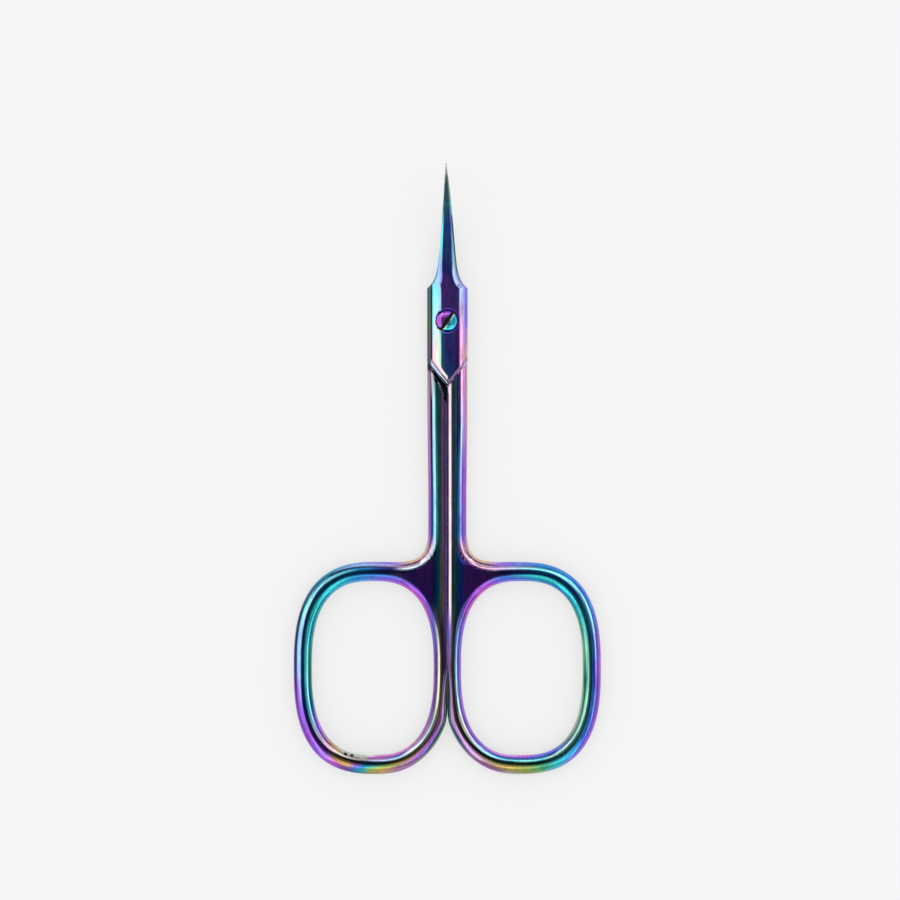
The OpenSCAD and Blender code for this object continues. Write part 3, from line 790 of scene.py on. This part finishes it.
# In from the finger hole on the web, in mm
holeRim = "0 maroon, 0.12 magenta, 0.35 magenta, 0.6 purple, 0.9 purple, 1.1 violet"
# Across the painted highlight line on the left-hand shank's rounded end, with painted shade either side, in
# mm towards the ring
shankEndShadeAndHighlight = "-0.5 black, -0.3 navy, -0.12 black, -0.07 cream, 0.06 cream, 0.11 black"
# That painted highlight line: mm down from the shank's end, its slant towards the seam, and where it fades
# out
endHighlight = {"away": 0.64, "slant": 0.6, "bendX": 1.4, "fromX": 0.6, "toX": 1.3}
# Across the screw's head from one side of the slot to the other, in mm; the ice line beside the slot is a
# painted highlight
screwBands = ("-1.6 violet, -0.9 magenta, -0.4 violet, -0.24 maroon, 0.2 olive, 0.27 ice, 0.5 teal, "
              "1.1 teal, 1.5 cyan")
# Where one table takes over from another: start and length in mm, heights counted downwards
takeOver = {"web": (0.85, 0.4), "inside": (1.5, 0.1), "belowShank": (32, 5), "fillet": (31.5, 3.5),
            "ringAcross": (5.5, 3), "ringBelow": (42, 5)}
black = np.array(tint["black"])


def colours(bands, t):
    # Bands are written "place tint, place tint", and the colour changes evenly from one to the next
    pairs = [pair.split() for pair in bands.split(", ")]
    places = [float(place) for place, _ in pairs]
    values = np.array([tint[name] for _, name in pairs])
    return np.stack([np.interp(t, places, values[:, c]) for c in range(3)], axis=-1)


def patches(rows, where, across):
    # Bands across, blended from one row of the table to the next
    stops = np.array([place for place, _ in rows])
    made = np.zeros(where.shape + (3,))
    for k in range(len(rows)):
        weight = np.interp(where, stops, np.eye(len(rows))[k])
        made += weight[..., None] * colours(rows[k][1], across)
    return made


def blend(a, b, t):
    return a + (b - a) * t[..., None]


def evenDepth(x, y, step=0.02):
    # Distance in from the outer edge, evened out where the outline turns through the fillet
    slopeX = (outerDepth(x + step, y) - outerDepth(x - step, y)) / (2 * step)
    slopeY = (outerDepth(x, y + step) - outerDepth(x, y - step)) / (2 * step)
    return outerDepth(x, y) / np.clip(np.hypot(slopeX, slopeY), 0.3, 1)


def taken(name, place):
    start, run = takeOver[name]
    return smooth((place - start) / run)


def handleColours(x, y, side):
    cx, cy = handle["holeCentre"]
    angle = np.degrees(np.arctan2(y - cy, x - cx))
    clear = np.clip(holeClear(x, y), 0, None)
    depth = np.clip(outerDepth(x, y), 0, None)
    depth = np.minimum(depth, np.clip(x - handle["seamX"], 0, None))
    # The last row of a ring's table is its first, one turn on
    rows = rings[side] + [(180, rings[side][0][1])]
    ring = patches(rows, angle, 100 * clear / (clear + depth + 1e-6))
    web = colours(webs[side], x)
    web = blend(colours(holeRim, clear), web, taken("web", clear))
    middle = blend(colours(shanks[side], x), web, taken("belowShank", -y))
    outside = evenDepth(x, y)
    edge = blend(patches(flanks[side], y, outside), colours(fillets[side], outside), taken("fillet", -y))
    middle = blend(edge, middle, taken("inside", outside))
    if side < 0:
        # Rounded end of the left-hand shank: painted shade beside the arm, with one painted highlight line
        # near the seam
        past = belowArm(x, y) - endHighlight["away"] - endHighlight["slant"] * np.clip(endHighlight["bendX"] - x, 0, 1)
        faded = np.maximum(smooth((x - endHighlight["toX"]) / 0.2), smooth((endHighlight["fromX"] - x) / 0.15))
        end = blend(colours(shankEndShadeAndHighlight, past), black, faded * smooth((past + 0.3) / 0.1))
        middle = blend(end, middle, np.maximum(smooth((past - 0.1) / 0.25), smooth((x - 1.7) / 0.6)))
    return blend(middle, ring, np.maximum(taken("ringAcross", x), taken("ringBelow", -y)))


def lobeColours(x, y):
    c = np.clip((x - spineX(y)) / (cuttingX(y) - spineX(y)), 0, 1)
    arm = np.clip(aboveArm(x, y), 0, None)
    # The left bevel turns along the left arm and narrows towards the vertex
    left = joint["vertexX"] - x
    facet = 0.25 * np.clip(arm - 0.45, 0, None) / mix(0.3, 0.95, np.clip(left / 2.5, 0, 1))
    c = np.where((left > 0) & (y < -4), np.minimum(c, facet), c)
    shade = patches(lobeBands, y, 100 * c)
    strip = np.where((left > 0)[:, None], colours(leftArm, arm), colours(rightArm, arm))
    return blend(strip, shade, smooth((arm - 0.5) / 0.07))


def pointsOf(target):
    co = np.empty(len(target.data.vertices) * 3)
    target.data.vertices.foreach_get("co", co)
    return co.reshape(-1, 3) / mm


# Stores the painted colour (film colour with painted highlights and painted shade) and the share of bare
# steel
def storeCoating(target, colour, bare):
    solid = np.column_stack([colour, np.ones(len(colour))])
    layer = target.data.attributes.new("filmAndPaintedLight", "FLOAT_COLOR", "POINT")
    layer.data.foreach_set("color", solid.astype(np.float32).ravel())
    layer = target.data.attributes.new("bare", "FLOAT", "POINT")
    layer.data.foreach_set("value", bare.astype(np.float32))


# Worn patch with two pits inside the left finger ring: angles about the hole's centre, mm in from its edge
worn = {
    "from": -84, "to": -66, "fade": 3, "reach": 0.85, "reachFade": 0.15, "share": 0.75,
    "pits": ((-76.6, 0.35), (-72.4, 0.42)), "pitSize": 0.34, "pitFade": 0.16, "mmPerDegree": 0.2,
}
bareTip = 2.2                    # length of bare steel at the tips


def wearAt(x, y):
    # How bare the ring is, and how dark a pit makes it
    cx, cy = handle["holeCentre"]
    angle = np.degrees(np.arctan2(y - cy, x - cx))
    clear = np.clip(holeClear(x, y), 0, None)
    sides = smooth((angle - worn["from"]) / worn["fade"]) * smooth((worn["to"] - angle) / worn["fade"])
    patch = sides * smooth((worn["reach"] - clear) / worn["reachFade"])
    pits = [np.hypot((angle - a) * worn["mmPerDegree"], clear - c) for a, c in worn["pits"]]
    spot = smooth((worn["pitSize"] - np.minimum(*pits)) / worn["pitFade"])
    return worn["share"] * patch * (y < cy), spot * (y < cy)


def paint(target, side):
    co = pointsOf(target)
    x, y, z = co[:, 0] * side, co[:, 1], co[:, 2]
    inLobe = y > armY(x) - 0.05
    colour = np.where(inLobe[:, None], lobeColours(x, y), handleColours(x, y, side))
    # Ground face against the other half, with painted shade as a dark line along its edge and beside the
    # chevron's arm
    radius = blade["curveRadius"]
    lift = radius - np.sqrt(radius ** 2 - np.clip(y - blade["curveStart"], 0, None) ** 2)
    mating = inLobe & (np.abs(z - midZ - lift) < 0.06)
    ground = colours(matingBands, y)
    edgeShade = smooth((np.abs(x) - 2.4) / 0.05) * smooth((2.7 - np.abs(x)) / 0.1) * smooth(5 - y)
    ground = blend(ground, black, edgeShade)
    byArm = np.maximum(smooth((aboveArm(x, y) - 0.35) / 0.1), smooth(x))
    ground = blend(black, ground, byArm)
    colour = np.where(mating[:, None], ground, colour)
    # Painted shade: the pocket's wall and floor round the screw's head are painted black
    pocket = (np.hypot(co[:, 0], y) < screw["pocketRadius"] + 0.02) & (z < joint["thickness"] - 0.1)
    colour = np.where((pocket & ~mating)[:, None], black, colour)
    bare = smooth((y - (halfHigh[1] - bareTip)) / 2)
    if side < 0:
        patch, spot = wearAt(x, y)
        bare = np.maximum(bare, patch) * (1 - spot)
        colour = blend(colour, black, spot)
    storeCoating(target, colour, bare)


def paintScrew(target):
    co = pointsOf(target)
    turn = math.radians(screw["slotAngle"])
    across = co[:, 0] * math.sin(turn) - co[:, 1] * math.cos(turn)
    colour = colours(screwBands, across)
    # Painted shade: the slot's walls and floor are darkened to 0.35 of the band colour
    inSlot = (np.abs(across) < screw["slotWidth"] / 2 + 0.01) & (co[:, 2] < joint["thickness"] - 0.3)
    colour = np.where(inSlot[:, None], 0.35 * colour, colour)
    storeCoating(target, colour, np.zeros(len(colour)))


paint(frontHalf, 1)
paint(rearHalf, -1)
paintScrew(screwMetal)


# Polished steel under an uneven film
finish = {
    "steel": (0.55, 0.54, 0.52, 1),
    "driftScale": 260.0, "hue": (0.44, 0.56),                       # slow change of the film's hue
    "streaks": (3600, 420, 3600), "depth": (0.82, 1.2),             # long streaks change its depth
    "waveScale": 260.0, "waveStrength": 0.24, "waveHeight": 0.00012,
    "lines": (9000, 700, 9000), "lineStrength": 0.08, "lineHeight": 0.00001,
    "haze": (0.7, 1.5),                                             # spread of the roughness
}


def makeCoating(name, roughness=0.07):
    mat = bpy.data.materials.new(name)
    mat.use_nodes = True
    nodes, links = mat.node_tree.nodes, mat.node_tree.links
    nodes.clear()

    def node(kind, **settings):
        made = nodes.new(kind)
        for key, value in settings.items():
            setattr(made, key, value)
        return made

    def noise(place, scale=1.0, detail=2.0):
        made = node("ShaderNodeTexNoise")
        made.inputs["Scale"].default_value = scale
        made.inputs["Detail"].default_value = detail
        links.new(place, made.inputs["Vector"])
        return made.outputs["Fac"]

    def stretched(place, scale):
        made = node("ShaderNodeMapping")
        made.inputs["Scale"].default_value = scale
        links.new(place, made.inputs["Vector"])
        return made.outputs["Vector"]

    def ranged(value, low, high, start=0.0, end=1.0):
        made = node("ShaderNodeMapRange")
        for key, number in (("From Min", start), ("From Max", end), ("To Min", low), ("To Max", high)):
            made.inputs[key].default_value = number
        links.new(value, made.inputs["Value"])
        return made.outputs["Result"]

    def bump(height, strength, distance):
        made = node("ShaderNodeBump")
        made.inputs["Strength"].default_value = strength
        made.inputs["Distance"].default_value = distance
        links.new(height, made.inputs["Height"])
        return made

    out = node("ShaderNodeOutputMaterial")
    shader = node("ShaderNodeBsdfPrincipled")
    shader.inputs["Metallic"].default_value = 1.0
    links.new(shader.outputs["BSDF"], out.inputs["Surface"])
    place = node("ShaderNodeTexCoord").outputs["Object"]
    # Uneven film over the painted bands of film colour, painted highlights and painted shade, then bare steel
    # where it has worn off
    filmAndPaintedLight = node("ShaderNodeAttribute", attribute_name="filmAndPaintedLight")
    turnHue = node("ShaderNodeHueSaturation")
    links.new(ranged(noise(place, finish["driftScale"], 3.0), *finish["hue"]), turnHue.inputs["Hue"])
    streaks = noise(stretched(place, finish["streaks"]), detail=4.0)
    links.new(ranged(streaks, *finish["depth"], 0.3, 0.7), turnHue.inputs["Value"])
    links.new(filmAndPaintedLight.outputs["Color"], turnHue.inputs["Color"])
    bare = node("ShaderNodeAttribute", attribute_name="bare")
    wear = node("ShaderNodeMix", data_type="RGBA")
    wear.inputs["B"].default_value = finish["steel"]
    links.new(bare.outputs["Fac"], wear.inputs["Factor"])
    links.new(turnHue.outputs["Color"], wear.inputs["A"])
    links.new(wear.outputs["Result"], shader.inputs["Base Color"])
    # Hand polish: soft waves, then fine lines along the tool
    waves = bump(noise(place, finish["waveScale"]), finish["waveStrength"], finish["waveHeight"])
    lines = noise(stretched(place, finish["lines"]))
    polish = bump(lines, finish["lineStrength"], finish["lineHeight"])
    links.new(waves.outputs["Normal"], polish.inputs["Normal"])
    links.new(polish.outputs["Normal"], shader.inputs["Normal"])
    low, high = finish["haze"]
    links.new(ranged(lines, roughness * low, roughness * high, 0.35, 0.7), shader.inputs["Roughness"])
    return mat


coating = makeCoating("rainbow_coating")
screwCoating = makeCoating("screw_coating", roughness=0.12)
# Each CAD node has the name of its body
for piece, body, slot, mat in ((frontHalf, "front_half", "coated_steel", coating),
                               (rearHalf, "rear_half", "coated_steel", coating),
                               (screwMetal, "pivot_screw", "coated_screw", screwCoating)):
    piece.data.materials.clear()
    piece.data.materials.append(mat)
    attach(piece, body)
    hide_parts(body)
print("coating on", len(bpy.data.materials), "materials")


# Floor, light and camera, with the frame's width and centre in mm
studio = {
    "frameWidth": 135.4, "centre": (0.4, -19.4), "lens": 300.0, "panelReach": 0.7,
    "floorSize": 3.0, "floorDrop": 2e-5, "floorColour": (0.3, 0.3, 0.3, 1), "floorGlow": 0.645,
    "skyStrength": 0.93,
}
# Soft panels: azimuth, elevation, height and width as the object sees them in degrees, then glow
panels = {
    "left_panel": (180, 25, 56, 112, 1.0),
    "right_panel": (0, 34, 74, 112, 0.45),
    "right_strip": (0, 30, 14, 90, 1.0),
    "far_panel": (90, 30, 64, 88, 0.5),
    "far_strip": (90, 44, 10, 60, 0.8),
    "near_panel": (-90, 30, 64, 88, 0.7),
    "near_strip": (-90, 40, 10, 60, 0.8),
    "dim_overhead": (0, 89.9, 70, 70, 0.16),
}


def makeFloor():
    half, z = studio["floorSize"] / 2, -studio["floorDrop"]
    mesh = bpy.data.meshes.new("floor")
    corners = [(-half, -half, z), (half, -half, z), (half, half, z), (-half, half, z)]
    mesh.from_pydata(corners, [], [(0, 1, 2, 3)])
    floor = bpy.data.objects.new("floor", mesh)
    bpy.context.scene.collection.objects.link(floor)
    mat = bpy.data.materials.new("pale_floor")
    mat.use_nodes = True
    shader = mat.node_tree.nodes["Principled BSDF"]
    shader.inputs["Base Color"].default_value = studio["floorColour"]
    shader.inputs["Emission Color"].default_value = (1, 1, 1, 1)
    shader.inputs["Emission Strength"].default_value = studio["floorGlow"]
    shader.inputs["Roughness"].default_value = 1.0
    shader.inputs["Specular IOR Level"].default_value = 0.0
    mesh.materials.append(mat)


def makeSky():
    world = bpy.data.worlds.new("studio")
    world.use_nodes = True
    world.node_tree.nodes["Background"].inputs["Color"].default_value = (1, 1, 1, 1)
    world.node_tree.nodes["Background"].inputs["Strength"].default_value = studio["skyStrength"]
    world.cycles_visibility.glossy = False
    bpy.context.scene.world = world


def makePanel(name, azimuth, elevation, tall, wide, glow):
    a, e, reach = math.radians(azimuth), math.radians(elevation), studio["panelReach"]
    aim = Vector((0, -0.02, 0))
    light = bpy.data.lights.new(name, "AREA")
    light.shape = "RECTANGLE"
    light.size = 2 * reach * math.tan(math.radians(wide / 2))
    light.size_y = 2 * reach * math.tan(math.radians(tall / 2))
    light.energy = glow * math.pi * light.size * light.size_y
    made = bpy.data.objects.new(name, light)
    made.location = aim + reach * Vector((math.cos(e) * math.cos(a), math.cos(e) * math.sin(a), math.sin(e)))
    made.rotation_euler = (aim - made.location).to_track_quat("-Z", "Y").to_euler()
    made.visible_diffuse = False
    made.visible_camera = False
    bpy.context.scene.collection.objects.link(made)


makeFloor()
makeSky()
for name, values in panels.items():
    makePanel(name, *values)

cam = bpy.data.cameras.new("camera")
cam.lens = studio["lens"]
cam.clip_start = 0.01
camera = bpy.data.objects.new("camera", cam)
distance = studio["frameWidth"] * mm * cam.lens / cam.sensor_width
camera.location = (studio["centre"][0] * mm, studio["centre"][1] * mm, distance)
bpy.context.scene.collection.objects.link(camera)
bpy.context.scene.camera = camera
bpy.context.scene.view_settings.view_transform = "Standard"
bpy.context.scene.cycles.caustics_reflective = False
print("studio:", len(panels), "panels")
